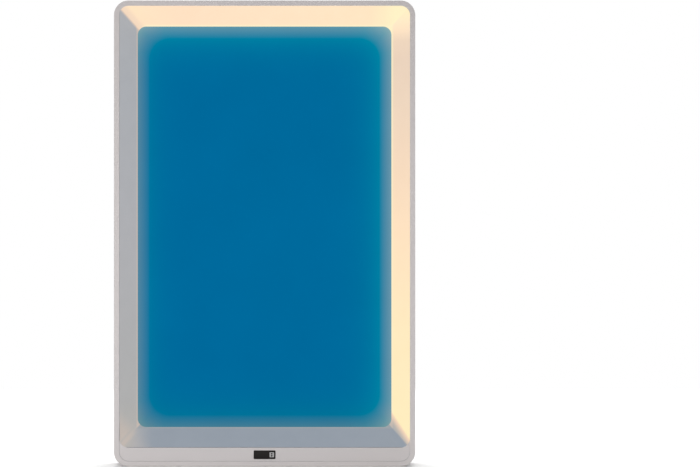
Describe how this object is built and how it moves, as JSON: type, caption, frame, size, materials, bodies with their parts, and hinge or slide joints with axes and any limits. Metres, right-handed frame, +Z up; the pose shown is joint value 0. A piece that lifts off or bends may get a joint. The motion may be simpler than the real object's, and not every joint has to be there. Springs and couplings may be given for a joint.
{
  "type": "wall-hung daylight panel",
  "caption": "Wall-hung artificial-window light: a blue edge-lit sky panel in a glowing sloped recess, in a painted box that hangs by keyholes on a wall plate.",
  "frame": {"origin": "centre of the four wall bolts, on the wall plane at the back of the wall plate", "axes": "+Z up along the lamp's height, +X to the right seen from the room, +Y into the wall"},
  "size_m": [0.6, 0.094, 0.928],
  "materials": {
    "frame_paint": "fine-textured warm light grey powder coat",
    "reveal_opal": "satin opal acrylic, lit from behind",
    "sky_blue": "matte blue diffusing pane, edge-lit",
    "window_black": "gloss smoked acrylic",
    "sensor_grey": "satin moulding",
    "bracket_steel": "satin grey-coated steel",
    "cover_steel": "pre-painted sheet steel",
    "zinc_steel": "zinc-plated steel",
    "dark_rubber": "matte rubber",
    "grey_plastic": "fine-textured moulding",
    "white_plastic": "white moulding",
    "white_foam": "closed-cell foam tape",
    "white_film": "white reflector film",
    "opal_sheet": "opal polystyrene sheet",
    "clear_acrylic": "clear acrylic sheet with a dot pattern",
    "board_white": "white solder-masked aluminium board",
    "board_green": "green solder-masked glass-epoxy board",
    "led_white": "phosphor-coated LED package",
    "chassis_aluminium": "mill-finish aluminium sheet",
    "driver_case": "white polycarbonate case",
    "brass": "turned brass",
    "shield_steel": "tinned shield can",
    "terminal_grey": "grey terminal moulding",
    "lever_orange": "gloss lever moulding",
    "lead_sleeve": "sleeved silicone wire"
  },
  "bodies": {
    "wall_bracket": {"wall_plate": "bracket_steel", "hanging_studs": "zinc_steel", "centre_pin": "zinc_steel"},
    "lamp": {"outer_frame": "frame_paint", "chin_panel": "frame_paint", "back_cover": "cover_steel", "cover_posts": "zinc_steel", "cover_screws": "zinc_steel", "wall_bumpers": "dark_rubber", "lower_edge_strip": "grey_plastic", "sensor_window": "window_black", "sensor_tile": "sensor_grey", "sensor_seal": "dark_rubber", "sensor_board": "board_green", "reveal_diffuser": "reveal_opal", "sky_gasket": "white_foam", "sky_panel": "sky_blue", "diffuser_sheet": "opal_sheet", "light_guide": "clear_acrylic", "reflector_sheet": "white_film", "panel_frame": "white_plastic", "sky_led_boards": "board_white", "sky_leds": "led_white", "wall_led_board_left": "board_white", "wall_led_board_right": "board_white", "wall_led_board_top": "board_white", "wall_led_board_bottom": "board_white", "wall_leds": "led_white", "chassis_plate": "chassis_aluminium", "chassis_screws": "zinc_steel", "led_driver_left": "driver_case", "led_driver_right": "driver_case", "driver_screws": "zinc_steel", "control_board": "board_green", "board_standoffs": "brass", "board_screws": "zinc_steel", "radio_module": "shield_steel", "terminal_box": "grey_plastic", "hatch_pin": "zinc_steel", "cable_grommet": "dark_rubber", "cable_clamp": "white_plastic", "clamp_screws": "zinc_steel", "terminal_block": "terminal_grey", "lever_shaft": "zinc_steel", "earth_stud": "brass", "mains_leads": "lead_sleeve", "control_leads": "lead_sleeve", "led_leads": "lead_sleeve", "sensor_lead": "lead_sleeve"},
    "hatch": {"terminal_hatch": "grey_plastic"},
    "lever_line": {"terminal_lever_line": "lever_orange"},
    "lever_neutral": {"terminal_lever_neutral": "lever_orange"},
    "lever_earth": {"terminal_lever_earth": "lever_orange"}
  },
  "joints": [
    {"name": "hang_lift", "type": "slide", "parent": "wall_bracket", "child": "lamp", "axis": [0, 0, 1], "range_m": [0, 0.012]},
    {"name": "hatch_hinge", "type": "hinge", "parent": "lamp", "child": "hatch", "pos_m": [0, -0.007, 0.148], "axis": [1, 0, 0], "range_deg": [0, 95]},
    {"name": "line_lever", "type": "hinge", "parent": "lamp", "child": "lever_line", "pos_m": [-0.01, -0.017, 0.1223], "axis": [1, 0, 0], "range_deg": [0, 90]},
    {"name": "neutral_lever", "type": "hinge", "parent": "lamp", "child": "lever_neutral", "pos_m": [0.01, -0.017, 0.1223], "axis": [1, 0, 0], "range_deg": [0, 90]},
    {"name": "earth_lever", "type": "hinge", "parent": "lamp", "child": "lever_earth", "pos_m": [0, -0.017, 0.1223], "axis": [1, 0, 0], "range_deg": [0, 90]}
  ]
}
